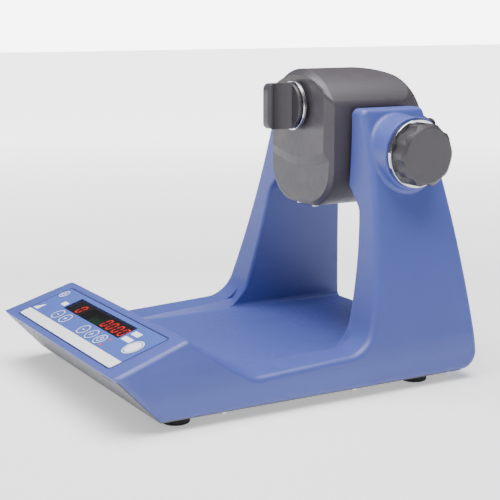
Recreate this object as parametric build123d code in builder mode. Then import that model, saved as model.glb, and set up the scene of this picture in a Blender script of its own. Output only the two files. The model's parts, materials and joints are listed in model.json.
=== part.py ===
from build123d import *
import os
from math import acos, atan2, cos, hypot, pi, radians, sin, sqrt, tan

os.makedirs("parts", exist_ok=True)

# Overhead rotating mixer: a one-piece U-shaped casing with a sloping console in front and two
# towers behind, which carry a tilting drive head between them.
# Millimetres. X runs to the user's right, Y to the back, Z up. The origin lies on the floor,
# under the middle of the whole object, and the console's lip is at the front (-Y).

# ---------------------------------------------------------------- driving dimensions
WALL = 3.0                 # moulded wall of the casings
FIT = 0.25                 # gap left round a piece that drops into another
FLAT = 0.02                # smallest gap left between two faces that bear on each other

# side view of the casing (Y, Z)
LIP = (-197.3, 52.0)       # front edge of the console
CONSOLE_BACK = (-126.9, 74.9)
CASE_Z = 9.0               # underside of the casing
UNDERCUT_Y = -157.0        # where the underside turns up towards the lip
REAR_Y = 180.3
RAIL_FRONT = (-68.0, 35.2)
RAIL_BACK = (53.8, 41.0)
TOWER_FRONT_MID = (75.6, 140.0)
TOWER_FRONT_TOP = 82.4
TOWER_BACK_MID = (168.4, 150.0)
TOWER_BACK_TOP = 154.8
TOWER_TOP_Z = 256.0
FOOT_R = 30.0              # sweep from the rail into the tower
REAR_R = 17.0              # rear lower corner
RAIL_BLEND_R = 28.0        # sweep from the console's back slope into the rail
# front view of the casing (X, Z): each outer side is upright at the rail, then one long arc
SIDE_BOTTOM = (143.6, 0.0)
SIDE_RAIL = (141.2, 38.0)
SIDE_MID = (116.8, 140.0)
SIDE_TOP = (62.8, 296.0)
SIDE_BLEND_R = 120.0
# deck and the space between the towers
DECK_Z = 33.0
DECK_HALF = 98.5
RAIL_INNER = (110.0, 41.5)
INNER_MID = (91.0, 105.0)
INNER_KNEE = (81.5, 163.0)
BRACKET_KNEE = (61.5, 182.5)
DECK_BLEND_R = 34.0        # where the console's back slope runs into the deck
TRAY_BACK_Y = 57.0         # where the tray between the rails runs out into the towers
TOWER_CROWN_R = 7.0
RIM_R = 6.0                # rounding along the casing's outer edges
INNER_RIM_R = 3.0

# tilt axis, parallel to X, and drive shaft, parallel to Y
TILT_Y, TILT_Z = 120.0, 216.2
SHAFT_Z = 255.7
BOSS_R = 34.0
BOSS_X = 113.0             # end face of the boss on the right-hand tower

# drive head
HEAD_HALF = 57.0
HEAD_TOP, HEAD_BOTTOM = 291.0, 159.0
HEAD_FRONT, HEAD_BACK = 61.5, 185.5
HEAD_SEAM = 67.5           # joint between the front cover and the housing
HEAD_CROWN_R = 68.0        # arched top, seen from the front
HEAD_CORNER_R = 10.0
CROWN_TRIM = 0.1           # the arch's ridge is trimmed flat by this much
HEAD_LOW_R = 38.0
HEAD_BACK_TOP_R = 59.0     # roundings where the top, sides and underside run into the back
HEAD_BACK_SIDE_R = 30.0
HEAD_BACK_LOW_R = 38.0
FACE_HALF, FACE_TOP, FACE_BOTTOM = 47.0, 285.3, 169.0    # front face of the front cover
FACE_CROWN_R, FACE_LOW_R = 85.0, 28.0
SMILE_Z, SMILE_R = 345.5, 140.0    # arc under the chuck where the front face steps back
SMILE_BAND = 9.0
SMILE_STEP = 3.0

# spur gears between motor and shaft
MODULE = 1.0
GEAR_TEETH, PINION_TEETH = 54, 18
PRESSURE_ANGLE = 20.0
TOOTH_THINNING = 0.12      # taken off each tooth for backlash
CENTRE_DISTANCE = MODULE * (GEAR_TEETH + PINION_TEETH) / 2 + 0.1
MOTOR_Z = SHAFT_Z - CENTRE_DISTANCE
GEAR_Y0, GEAR_Y1 = 84.0, 93.0

# console: u runs to the right, v up the slope from the lip
PANEL_TILT = atan2(CONSOLE_BACK[1] - LIP[1], CONSOLE_BACK[0] - LIP[0])
PANEL = Plane(origin=(0, LIP[0], LIP[1]), x_dir=(1, 0, 0), z_dir=(0, -sin(PANEL_TILT), cos(PANEL_TILT)))
FOIL_HALF, FOIL_V0, FOIL_V1, FOIL_T = 112.8, 6.7, 66.6, 0.6
WINDOW_U0, WINDOW_U1, WINDOW_V0, WINDOW_V1, WINDOW_T = -69.5, 60.0, 40.0, 60.0, 1.6
KEYS = {
    "power_key": (-104.0, 55.0, 6.2),
    "speed_down_key": (-59.3, 29.6, 7.6),
    "speed_up_key": (-40.0, 29.6, 7.6),
    "time_down_key": (5.8, 29.2, 7.6),
    "time_up_key": (25.2, 29.2, 7.6),
    "mode_key": (44.6, 29.2, 7.6),
    "start_key": (94.5, 39.0, 10.8),
}
KEY_GAP = 0.2
KEY_TRAVEL = 0.5
LED_SPOTS = [(56.2, 34.2), (56.2, 24.2)]
LED_R = 1.3
BOARD_DEPTH = 10.0         # top of the control board below the panel's surface
BOARD_T = 1.6
BOARD_POSTS = [(-108, 22), (-108, 66), (78, 22), (108, 66)]


LEFT_END = Plane.YZ.offset(-200)       # long extrusions along X start here
REAR_END = Plane.XZ.offset(-300)       # and those along Y start here, towards the front
LONG_X, LONG_Y = 400, 600


def axial(plane_y):
    """Plane facing the front at a given Y; its x is X and its y is Z."""
    return Plane.XZ.offset(-plane_y)


def lateral(plane_x):
    """Plane facing right at a given X; its x is Y and its y is Z."""
    return Plane.YZ.offset(plane_x)


def round_corner(sketch, spot, radius):
    """Round the corner of a sketch that lies nearest to spot, given in the sketch's own axes."""
    corner = min(sketch.vertices(), key=lambda v: hypot(v.X - spot[0], v.Y - spot[1]))
    fillet(corner, radius)


def finish(builder, name):
    builder.part.label = name
    export_step(builder.part, f"parts/{name}.step")


# ---------------------------------------------------------------- casing
def casing_side_face(inset):
    """Side view of console, rail and tower as a face in a YZ plane."""
    with BuildSketch(LEFT_END) as face:
        with BuildLine():
            Polyline((REAR_Y, CASE_Z), (UNDERCUT_Y, CASE_Z), LIP, CONSOLE_BACK, RAIL_FRONT, RAIL_BACK)
            ThreePointArc(RAIL_BACK, TOWER_FRONT_MID, (TOWER_FRONT_TOP, TOWER_TOP_Z))
            Line((TOWER_FRONT_TOP, TOWER_TOP_Z), (TOWER_BACK_TOP, TOWER_TOP_Z))
            ThreePointArc((TOWER_BACK_TOP, TOWER_TOP_Z), TOWER_BACK_MID, (REAR_Y, CASE_Z))
        make_face()
        round_corner(face, RAIL_BACK, FOOT_R)
        round_corner(face, (REAR_Y, CASE_Z), REAR_R)
        round_corner(face, RAIL_FRONT, RAIL_BLEND_R)
        round_corner(face, CONSOLE_BACK, 5.5)
        round_corner(face, (UNDERCUT_Y, CASE_Z), 4)
        if inset:
            offset(amount=-inset, kind=Kind.INTERSECTION)
    return face.sketch


def casing_front_face(inset):
    """Front view of the casing's outer sides as a face in an XZ plane, open ended below."""
    with BuildSketch(REAR_END) as face:
        with BuildLine():
            Polyline((0, SIDE_BOTTOM[1]), SIDE_BOTTOM, SIDE_RAIL)
            ThreePointArc(SIDE_RAIL, SIDE_MID, SIDE_TOP)
            Polyline(SIDE_TOP, (0, SIDE_TOP[1]), (0, SIDE_BOTTOM[1]))
        make_face()
        round_corner(face, SIDE_RAIL, SIDE_BLEND_R)
        mirror(about=Plane.YZ)
        if inset:
            offset(amount=-inset, kind=Kind.INTERSECTION)
    return face.sketch


def back_slope():
    """Where the console's back slope meets the deck, and a point on its line above the console."""
    slope = (CONSOLE_BACK[1] - RAIL_FRONT[1]) / (RAIL_FRONT[0] - CONSOLE_BACK[0])
    foot_y = RAIL_FRONT[0] + (RAIL_FRONT[1] - DECK_Z) / slope
    crest_y = CONSOLE_BACK[0] - 15.0
    return foot_y, crest_y, DECK_Z + slope * (foot_y - crest_y)


def deck_space(inset):
    """The space above the deck and between the towers, grown by inset."""
    foot_y, crest_y, slope_z = back_slope()
    crest_z = SIDE_TOP[1]
    with BuildPart() as between:
        with BuildSketch(LEFT_END) as length:
            with BuildLine():
                Polyline((foot_y, DECK_Z), (crest_y, slope_z), (crest_y, crest_z), (260, crest_z))
                Polyline((260, crest_z), (260, DECK_Z), (foot_y, DECK_Z))
            make_face()
            round_corner(length, (foot_y, DECK_Z), DECK_BLEND_R)
            if inset:
                offset(amount=inset, kind=Kind.INTERSECTION)
        extrude(amount=LONG_X)
        with BuildSketch(REAR_END) as width:
            with BuildLine():
                Line((0, DECK_Z), (DECK_HALF, DECK_Z))
                ThreePointArc((DECK_HALF, DECK_Z), INNER_MID, INNER_KNEE)
                Polyline(INNER_KNEE, BRACKET_KNEE, (BRACKET_KNEE[0], crest_z), (0, crest_z), (0, DECK_Z))
            make_face()
            round_corner(width, (DECK_HALF, DECK_Z), 5)
            round_corner(width, INNER_KNEE, 12)
            round_corner(width, BRACKET_KNEE, 5)
            mirror(about=Plane.YZ)
            if inset:
                offset(amount=inset, kind=Kind.INTERSECTION)
        extrude(amount=LONG_Y, mode=Mode.INTERSECT)
    return between.part


def rail_space(inset):
    """The shallow tray between the rails, whose sides lean out to the rails' inner edges."""
    foot_y, crest_y, slope_z = back_slope()
    crest_z = 110.0
    with BuildPart() as tray:
        with BuildSketch(LEFT_END) as length:
            with BuildLine():
                Polyline((foot_y, DECK_Z), (crest_y, slope_z), (crest_y, crest_z), (TRAY_BACK_Y, crest_z))
                Polyline((TRAY_BACK_Y, crest_z), (TRAY_BACK_Y, DECK_Z), (foot_y, DECK_Z))
            make_face()
            round_corner(length, (foot_y, DECK_Z), DECK_BLEND_R)
            round_corner(length, (TRAY_BACK_Y, DECK_Z), FOOT_R)
            if inset:
                offset(amount=inset, kind=Kind.INTERSECTION)
        extrude(amount=LONG_X)
        with BuildSketch(REAR_END) as width:
            with BuildLine():
                Polyline((0, DECK_Z), (DECK_HALF, DECK_Z), RAIL_INNER, (RAIL_INNER[0], crest_z))
                Polyline((RAIL_INNER[0], crest_z), (0, crest_z), (0, DECK_Z))
            make_face()
            round_corner(width, (DECK_HALF, DECK_Z), 5)
            mirror(about=Plane.YZ)
            if inset:
                offset(amount=inset, kind=Kind.INTERSECTION)
        extrude(amount=LONG_Y, mode=Mode.INTERSECT)
    return tray.part


def casing_block(inset):
    """The casing as a solid: console, rails and towers, with the space between cut out."""
    with BuildPart() as block:
        extrude(casing_side_face(inset), amount=LONG_X, dir=(1, 0, 0))
        extrude(casing_front_face(inset), amount=LONG_Y, dir=(0, -1, 0), mode=Mode.INTERSECT)
        if not inset:
            crowns = block.edges().filter_by(Axis.X).group_by(Axis.Z)[-1]
            fillet(crowns, TOWER_CROWN_R)
            rim = [e for e in block.edges() if abs(e.position_at(0.5).X) > 60 and e.position_at(0.5).Z > 20]
            fillet(rim, RIM_R)
        add(rail_space(inset), mode=Mode.SUBTRACT)
        add(deck_space(inset), mode=Mode.SUBTRACT)
    return block.part


def is_inner_edge(edge):
    """True for the edges where the towers' fronts, tops and backs meet their inner sides."""
    middle = edge.position_at(0.5)
    on_bracket = abs(abs(middle.X) - BRACKET_KNEE[0]) < 1 and middle.Z > 190
    on_wall = middle.Z > 55 and not 88 < middle.Y < 150 and abs(middle.X) < 97
    outside = abs(middle.X) > 66 and middle.Z > 185
    return on_bracket or (on_wall and not outside)


def undercut_point(along, inward):
    """A point measured from the lip down the undercut, and into the casing from it."""
    run = hypot(UNDERCUT_Y - LIP[0], LIP[1] - CASE_Z)
    step_y, step_z = (UNDERCUT_Y - LIP[0]) / run, (CASE_Z - LIP[1]) / run
    return LIP[0] + along * step_y - inward * step_z, LIP[1] + along * step_z + inward * step_y


def underside(back_y, lip_gap, depth, out):
    """Strip along the underside and up the undercut, as a face: depth inside the surface, out beyond it."""
    run = hypot(UNDERCUT_Y - LIP[0], LIP[1] - CASE_Z)
    turn = atan2(LIP[1] - CASE_Z, UNDERCUT_Y - LIP[0])
    corner = tan(turn / 2)
    with BuildSketch(LEFT_END) as strip:
        with BuildLine():
            Polyline(
                (back_y, CASE_Z - out),
                (back_y, CASE_Z + depth),
                (undercut_point(run - depth * corner, depth)[0], CASE_Z + depth),
                undercut_point(lip_gap, depth),
                undercut_point(lip_gap, -out),
                (undercut_point(run + out * corner, -out)[0], CASE_Z - out),
                close=True,
            )
        make_face()
    return strip.sketch


def cover_outline():
    """The casing's sides, one wall and a gap in, which the bottom cover drops between."""
    return casing_front_face(WALL + FIT)


# ---------------------------------------------------------------- base: dimensions of the inner parts
BOSS_BLEND_R = 4.0
COVER_T = 2.5
COVER_BACK_Y = 160.0
LIP_LAND = 6.0             # width of the casing's own rim under the lip
FOOT_SPOTS = {
    "foot_front_left": (-117.5, -132.0),
    "foot_front_right": (117.5, -132.0),
    "foot_rear_left": (-117.5, 121.0),
    "foot_rear_right": (117.5, 121.0),
}
RUBBER_FOOT_R = 12.5
COVER_SCREWS = [(x, y) for y in (-95.0, 40.0, 148.0) for x in (-135.5, 135.5)]
SCREW_R = 1.5
SCREW_HEAD_R, SCREW_HEAD_T = 3.0, 2.0
PIVOT_R, BUSH_R, HUB_R = 8.0, 10.0, 14.0
HUB_END_X = 80.0
STUD_R = 5.0
STUD_FROM_X = 112.0        # where the right-hand pivot steps down to its threaded end
SOCKET_X, SOCKET_Z = -66.0, 23.0
SOCKET_SEAT_Y = 176.0
CLIP_X, CLIP_LENGTH, CLIP_ALONG, CLIP_SLOT = 108.0, 20.0, 10.5, 3.0
POWER_BOARD_Z = 17.0
POWER_SCREWS = [(x, y) for y in (72.0, 148.0) for x in (-84.0, 24.0)]
DIGIT_MODULES = {"speed_display": (-66.0, -38.5), "time_display": (5.5, 57.5)}
DISPLAY_TOP, DISPLAY_BOTTOM = 1.8, 9.8


def on_console(depth):
    """Plane parallel to the console's surface, depth below it."""
    return PANEL.offset(-depth)


def disc(plane, centre, radius, height):
    """Add a round slab that stands on a plane."""
    with BuildSketch(plane) as shape:
        with Locations(centre):
            Circle(radius)
    extrude(shape.sketch, amount=height, dir=plane.z_dir)


def hole(plane, centre, radius, height):
    """Cut a round hole from a plane along its normal."""
    with BuildSketch(plane) as shape:
        with Locations(centre):
            Circle(radius)
    extrude(shape.sketch, amount=height, dir=plane.z_dir, mode=Mode.SUBTRACT)


def block(plane, centre, width, length, height, corner=0.0):
    """Add a rectangular slab that stands on a plane."""
    with BuildSketch(plane) as shape:
        with Locations(centre):
            if corner:
                RectangleRounded(width, length, corner)
            else:
                Rectangle(width, length)
    extrude(shape.sketch, amount=height, dir=plane.z_dir)


def pocket(plane, centre, width, length, height, corner=0.0):
    """Cut a rectangular pocket from a plane along its normal."""
    with BuildSketch(plane) as shape:
        with Locations(centre):
            if corner:
                RectangleRounded(width, length, corner)
            else:
                Rectangle(width, length)
    extrude(shape.sketch, amount=height, dir=plane.z_dir, mode=Mode.SUBTRACT)


def pan_screw(seat, centre, length):
    """Add a pan-head screw whose head bears on the seat plane and whose shank goes along its normal."""
    disc(seat.offset(-SCREW_HEAD_T), centre, SCREW_HEAD_R, SCREW_HEAD_T)
    disc(seat, centre, SCREW_R - 0.05, length)
    pocket(seat.offset(-SCREW_HEAD_T), centre, 3.4, 0.7, 1.0)
    pocket(seat.offset(-SCREW_HEAD_T), centre, 0.7, 3.4, 1.0)


def is_boss_foot(edge):
    """True for the edges where the boss meets the tower's sloping side."""
    on_cylinder = all(
        abs(hypot(edge.position_at(t).Y - TILT_Y, edge.position_at(t).Z - TILT_Z) - BOSS_R) < 0.05
        for t in (0, 0.25, 0.5, 0.75, 1)
    )
    return on_cylinder and 70 < edge.position_at(0.5).X < BOSS_X - 1


# ---------------------------------------------------------------- base casing
FLOOR_UP = Plane.XY
TILT_AXIS = (TILT_Y, TILT_Z)

with BuildPart() as mouth:
    extrude(underside(COVER_BACK_Y, LIP_LAND, WALL + 1, 8), amount=LONG_X, dir=(1, 0, 0))
    extrude(casing_front_face(WALL), amount=LONG_Y, dir=(0, -1, 0), mode=Mode.INTERSECT)

with BuildPart() as base_casing:
    add(casing_block(0))
    fillet([e for e in base_casing.edges() if is_inner_edge(e)], INNER_RIM_R)
    # boss on the right-hand tower, in line with the tilt axis
    disc(lateral(66), TILT_AXIS, BOSS_R, BOSS_X - 66)
    fillet([e for e in base_casing.edges() if is_boss_foot(e)], BOSS_BLEND_R)
    fillet(base_casing.edges().filter_by_position(Axis.X, BOSS_X - 0.1, BOSS_X + 0.1), 1.0)
    # hollow inside, open below and up the undercut for the bottom cover
    add(casing_block(WALL), mode=Mode.SUBTRACT)
    add(mouth.part, mode=Mode.SUBTRACT)
    # hollow boss, and the index mark on its upper edge
    hole(lateral(84), TILT_AXIS, BOSS_R - WALL, BOSS_X - WALL - 84)
    pocket(lateral(BOSS_X - 5), (TILT_Y, TILT_Z + BOSS_R), 1.6, 1.2, 6)
    hole(lateral(BOSS_X - WALL - 1), TILT_AXIS, PIVOT_R + 0.5, WALL + 2)
    # hubs that hold the pivot bushes
    for side, start in ((1, BRACKET_KNEE[0] + 1), (-1, -HUB_END_X)):
        disc(lateral(start), TILT_AXIS, HUB_R, HUB_END_X - BRACKET_KNEE[0] - 1)
        hole(lateral(-HUB_END_X - 5 if side < 0 else 55), TILT_AXIS, BUSH_R, HUB_END_X - 50)
    # pillars for the bottom cover's screws, joined to the side walls
    for spot in COVER_SCREWS:
        disc(FLOOR_UP.offset(CASE_Z + COVER_T + FLAT), spot, 4.5, 17)
        hole(FLOOR_UP.offset(CASE_Z), spot, SCREW_R, 16)
    # thicker wall with a flat recess for the power socket
    disc(axial(SOCKET_SEAT_Y + 1), (SOCKET_X, SOCKET_Z), 9.0, 6)
    hole(axial(190), (SOCKET_X, SOCKET_Z), 6.6, 190 - SOCKET_SEAT_Y)
    hole(axial(190), (SOCKET_X, SOCKET_Z), 4.1, 30)
    # console: shallow bed for the printed foil, stepped opening for the window
    foil_mid = (0, (FOIL_V0 + FOIL_V1) / 2)
    foil_size = (2 * FOIL_HALF, FOIL_V1 - FOIL_V0)
    foil_bed = (foil_size[0] + 2 * KEY_GAP, foil_size[1] + 2 * KEY_GAP)
    pocket(on_console(FOIL_T + FLAT), foil_mid, foil_bed[0], foil_bed[1], 5, 4.2)
    window_mid = ((WINDOW_U0 + WINDOW_U1) / 2, (WINDOW_V0 + WINDOW_V1) / 2)
    window_size = (WINDOW_U1 - WINDOW_U0, WINDOW_V1 - WINDOW_V0)
    pocket(on_console(WINDOW_T + FLAT), window_mid, window_size[0] + 0.4, window_size[1] + 0.4, 5)
    pocket(on_console(6), window_mid, window_size[0] - 3, window_size[1] - 2, 6)
    for u, v, r in KEYS.values():
        hole(on_console(6), (u, v), r + KEY_GAP, 6)
    for spot in LED_SPOTS:
        hole(on_console(6), spot, LED_R + 0.1, 6)
    # posts that carry the control board
    for spot in BOARD_POSTS:
        disc(on_console(BOARD_DEPTH - FLAT), spot, 3.0, BOARD_DEPTH - FLAT - 2)
        hole(on_console(BOARD_DEPTH), spot, SCREW_R, 7)
finish(base_casing, "base_casing")

# ---------------------------------------------------------------- bottom cover, feet, screws, clips
with BuildPart() as bottom_cover:
    extrude(underside(COVER_BACK_Y - FIT, LIP_LAND + FIT, COVER_T, 0), amount=LONG_X, dir=(1, 0, 0))
    extrude(cover_outline(), amount=LONG_Y, dir=(0, -1, 0), mode=Mode.INTERSECT)
    cover_top = FLOOR_UP.offset(CASE_Z + COVER_T - 0.5)
    for spot in POWER_SCREWS:
        disc(cover_top, spot, 3.0, POWER_BOARD_Z - FLAT - CASE_Z - COVER_T + 0.5)
        hole(FLOOR_UP.offset(CASE_Z + 1), spot, SCREW_R, 8)
    for spot in FOOT_SPOTS.values():
        disc(cover_top, spot, 5.0, 9)
        hole(FLOOR_UP.offset(CASE_Z - 1), spot, SCREW_R, 9)
    for spot in COVER_SCREWS:
        hole(FLOOR_UP.offset(CASE_Z - 1), spot, SCREW_R + 0.1, 5)
    # slots for the two clips behind the lip
    slot_plane = Plane(
        origin=(0, *undercut_point(CLIP_ALONG, -1)),
        x_dir=(1, 0, 0),
        z_dir=(0, *[a - b for a, b in zip(undercut_point(0, 1), undercut_point(0, 0))]),
    )
    for x in (-CLIP_X, CLIP_X):
        pocket(slot_plane, (x, 0), CLIP_LENGTH, CLIP_SLOT, 5)
finish(bottom_cover, "bottom_cover")

with BuildPart() as front_clips:
    for x in (-CLIP_X, CLIP_X):
        block(slot_plane.offset(1 + WALL + 0.15), (x, 0.9), CLIP_LENGTH - 2, 11.2, 1)
        block(slot_plane.offset(1.4), (x, 0), CLIP_LENGTH - 2, CLIP_SLOT - 0.8, WALL)
finish(front_clips, "front_clips")

with BuildPart() as cover_screws:
    for spot in COVER_SCREWS:
        pan_screw(FLOOR_UP.offset(CASE_Z - FLAT), spot, 12)
finish(cover_screws, "cover_screws")

for foot_name, foot_spot in FOOT_SPOTS.items():
    with BuildPart() as foot:
        disc(FLOOR_UP, foot_spot, RUBBER_FOOT_R, CASE_Z - FLAT)
        fillet(foot.edges().group_by(Axis.Z)[0], 1.5)
        hole(FLOOR_UP, foot_spot, SCREW_HEAD_R + 1.2, 5.0)
        hole(FLOOR_UP, foot_spot, SCREW_R + 0.1, 10)
    finish(foot, foot_name)

with BuildPart() as foot_screws:
    for spot in FOOT_SPOTS.values():
        pan_screw(FLOOR_UP.offset(5.0 - FLAT), spot, 10)
finish(foot_screws, "foot_screws")

# ---------------------------------------------------------------- console
with BuildPart() as keypad_foil:
    block(on_console(FOIL_T), foil_mid, foil_size[0], foil_size[1], FOIL_T, 4.0)
    pocket(on_console(FOIL_T), window_mid, window_size[0] + 0.4, window_size[1] + 0.4, 2)
    for u, v, r in KEYS.values():
        hole(on_console(FOIL_T), (u, v), r + KEY_GAP, 2)
    for spot in LED_SPOTS:
        hole(on_console(FOIL_T), spot, LED_R + 0.1, 2)
finish(keypad_foil, "keypad_foil")

with BuildPart() as display_window:
    block(on_console(WINDOW_T), window_mid, window_size[0], window_size[1], WINDOW_T)
finish(display_window, "display_window")

for module_name, (u0, u1) in DIGIT_MODULES.items():
    with BuildPart() as module:
        centre = ((u0 + u1) / 2, window_mid[1])
        block(on_console(DISPLAY_BOTTOM), centre, u1 - u0, window_size[1] - 3, DISPLAY_BOTTOM - DISPLAY_TOP)
        chamfer(module.faces().sort_by(SortBy.AREA)[-1].edges(), 0.4)
    finish(module, module_name)

with BuildPart() as mode_leds:
    for spot in LED_SPOTS:
        disc(on_console(BOARD_DEPTH - FLAT), spot, LED_R + 0.5, 1.2)
        disc(on_console(BOARD_DEPTH - FLAT), spot, LED_R, BOARD_DEPTH - FLAT + 0.2)
finish(mode_leds, "mode_leds")

with BuildPart() as control_board:
    block(on_console(BOARD_DEPTH + BOARD_T), (0, 44), 226, 52, BOARD_T, 3.0)
    for spot in BOARD_POSTS:
        hole(on_console(BOARD_DEPTH + BOARD_T), spot, SCREW_R + 0.1, 3)
finish(control_board, "control_board")

with BuildPart() as key_switches:
    for u, v, r in KEYS.values():
        block(on_console(BOARD_DEPTH - FLAT), (u, v), 6, 6, 3.7)
        disc(on_console(BOARD_DEPTH - FLAT), (u, v), 1.6, 4.3)
finish(key_switches, "key_switches")

with BuildPart() as board_screws:
    for spot in BOARD_POSTS:
        pan_screw(on_console(BOARD_DEPTH + BOARD_T + FLAT), spot, 6)
finish(board_screws, "board_screws")

for key_name, (u, v, key_r) in KEYS.items():
    with BuildPart() as key:
        disc(on_console(3.4), (u, v), key_r, 3.65)
        fillet(key.faces().sort_by(Axis((0, 0, 0), PANEL.z_dir))[-1].edges(), 0.4)
        disc(on_console(4.2), (u, v), key_r + 1.3, 0.9)
        disc(on_console(5.0), (u, v), 2.0, 1.2)
    finish(key, key_name)

# ---------------------------------------------------------------- parts inside the base
POWER_BLOCKS = [
    # x, y, width, length, height
    (-66.0, 92.0, 18.0, 22.0, 9.0),
    (-40.0, 130.0, 16.0, 24.0, 9.5),
    (0.0, 96.0, 26.0, 18.0, 7.0),
    (4.0, 132.0, 12.0, 20.0, 8.0),
]

with BuildPart() as power_board:
    block(FLOOR_UP.offset(POWER_BOARD_Z), (-30, 110), 120, 88, BOARD_T, 3.0)
    for spot in POWER_SCREWS:
        hole(FLOOR_UP.offset(POWER_BOARD_Z), spot, SCREW_R + 0.1, 3)
    for x, y, width, length, height in POWER_BLOCKS:
        block(FLOOR_UP.offset(POWER_BOARD_Z + BOARD_T - 0.1), (x, y), width, length, height + 0.1)
finish(power_board, "power_board")

with BuildPart() as power_board_screws:
    board_top = Plane(origin=(0, 0, POWER_BOARD_Z + BOARD_T + FLAT), x_dir=(1, 0, 0), z_dir=(0, 0, -1))
    for x, y in POWER_SCREWS:
        pan_screw(board_top, (x, -y), 6)
finish(power_board_screws, "power_board_screws")

with BuildPart() as dc_socket:
    disc(axial(178.5), (SOCKET_X, SOCKET_Z), 6.2, 178.5 - SOCKET_SEAT_Y - FLAT)
    disc(axial(SOCKET_SEAT_Y + 1), (SOCKET_X, SOCKET_Z), 4.0, 16)
    disc(axial(171 - FLAT), (SOCKET_X, SOCKET_Z), 6.5, 3)
    hole(axial(178.5), (SOCKET_X, SOCKET_Z), 2.9, 12)
    disc(axial(177), (SOCKET_X, SOCKET_Z), 1.05, 12)
finish(dc_socket, "dc_socket")

for bush_name, start, flange_start in (
    ("pivot_bush_right", BRACKET_KNEE[0] - FLAT, BRACKET_KNEE[0] - 1.5),
    ("pivot_bush_left", -HUB_END_X, -BRACKET_KNEE[0] + FLAT),
):
    with BuildPart() as bush:
        disc(lateral(start), TILT_AXIS, BUSH_R - 0.04, HUB_END_X - BRACKET_KNEE[0] + FLAT)
        disc(lateral(flange_start), TILT_AXIS, HUB_R, 1.5 - FLAT)
        hole(lateral(start - 5), TILT_AXIS, PIVOT_R + 0.05, 40)
    finish(bush, bush_name)

# ---------------------------------------------------------------- drive head
HEAD_WALL = 3.0
SHAFT_AXIS = (0, SHAFT_Z)
BEARING_OUT_R, BEARING_T = 14.0, 8.0
BEARING_PITCH_R, BALL_R, BALL_COUNT = 10.0, 2.35, 8
FRONT_BEARING_Y, REAR_BEARING_Y = 70.5, 104.0
PLATE_FRONT_Y, PLATE_FRONT_T = 70.0, 10.0
PLATE_REAR_Y, PLATE_REAR_T = 98.0, 5.0
FRAME_PILLARS = [(x, z) for z in (186.0, 260.0) for x in (-40.5, 40.5)]
GEARBOX_R, GEARBOX_LENGTH, MOTOR_R, MOTOR_LENGTH = 18.5, 23.0, 17.5, 44.0
GEARBOX_Y = PLATE_REAR_Y + PLATE_REAR_T + FLAT
HEAD_SCREW_X, HEAD_SCREW_Y = 14.0, 74.0
GLAND_X, GLAND_Z, GLAND_TIP_Y = 40.0, 234.0, 197.3
GLAND_PAD_T = 7.0
SHAFT_R, SHAFT_END_Y, CIRCLIP_Y = 6.0, 116.0, 112.3
SHOULDER_Y, FLANGE_Y, WASHER_Y, STUD_TIP_Y = 57.0, 54.0, 52.5, 45.5
CHUCK_STUD_R, CHUCK_INSERT_R, CHUCK_INSERT_Y = 4.0, 5.2, 46.0
WING_DISC_R, WING_DISC_Y, WING_FRONT_Y, WING_HALF = 22.5, 49.7, 25.0, 22.0
INSERT_R = 7.5
KNOB_CHAMFER = 3.5


def crowned_outline(plane, half, top, bottom, crown_r, corner_r, low_r):
    """Front view of the head: arched top, upright sides, round lower corners."""
    shoulder_z = top - crown_r + sqrt(crown_r**2 - half**2)
    with BuildSketch(plane) as face:
        with BuildLine():
            ThreePointArc((-half, shoulder_z), (0, top), (half, shoulder_z))
            Polyline((half, shoulder_z), (half, bottom), (-half, bottom), (-half, shoulder_z))
        make_face()
        for side in (1, -1):
            round_corner(face, (side * half, shoulder_z), corner_r)
            round_corner(face, (side * half, bottom), low_r)
    return face.sketch


def head_outline(plane, inset):
    """Front view of the head at the seam, shrunk by inset."""
    half, top, bottom = HEAD_HALF - inset, HEAD_TOP - inset, HEAD_BOTTOM + inset
    crown_r, corner_r, low_r = HEAD_CROWN_R - inset, HEAD_CORNER_R - inset, HEAD_LOW_R - inset
    return crowned_outline(plane, half, top, bottom, crown_r, corner_r, low_r)


def head_side_face(inset):
    """Side view of the drive head behind its seam, as a face in a YZ plane."""
    front_y, top = HEAD_SEAM, HEAD_TOP - CROWN_TRIM
    with BuildSketch(LEFT_END) as face:
        with BuildLine():
            Polyline((front_y - 60, HEAD_BOTTOM), (HEAD_BACK, HEAD_BOTTOM), (HEAD_BACK, top))
            Polyline((HEAD_BACK, top), (front_y - 60, top), (front_y - 60, HEAD_BOTTOM))
        make_face()
        round_corner(face, (HEAD_BACK, top), HEAD_BACK_TOP_R)
        round_corner(face, (HEAD_BACK, HEAD_BOTTOM), HEAD_BACK_LOW_R)
        if inset:
            offset(amount=-inset, kind=Kind.INTERSECTION)
    return face.sketch


def bearing_ring(inner_r, outer_r, front_y):
    """Add one bearing ring, with the ball groove in the face towards the balls."""
    with BuildSketch(Plane.YZ) as ring:
        with Locations((front_y + BEARING_T / 2, SHAFT_Z + (inner_r + outer_r) / 2)):
            Rectangle(BEARING_T, outer_r - inner_r)
        with Locations((front_y + BEARING_T / 2, SHAFT_Z + BEARING_PITCH_R)):
            Circle(BALL_R + 0.3, mode=Mode.SUBTRACT)
    revolve(ring.sketch, axis=Axis((0, 0, SHAFT_Z), (0, 1, 0)))


def head_body(inset):
    """The drive head as a closed solid, shrunk by inset, running on in front of the seam."""
    half = HEAD_HALF - inset
    with BuildPart() as body:
        extrude(head_side_face(inset), amount=LONG_X, dir=(1, 0, 0))
        split(bisect_by=Plane.YZ.offset(half), keep=Keep.BOTTOM)
        split(bisect_by=Plane.YZ.offset(-half), keep=Keep.TOP)
        side_edges = [
            e for e in body.edges()
            if abs(abs(e.position_at(0.5).X) - half) < 0.01 and e.position_at(0.5).Y > HEAD_SEAM - 55
        ]
        fillet(side_edges, HEAD_BACK_SIDE_R - inset)
        extrude(head_outline(REAR_END, inset), amount=LONG_Y, dir=(0, -1, 0), mode=Mode.INTERSECT)
    return body.part


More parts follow.
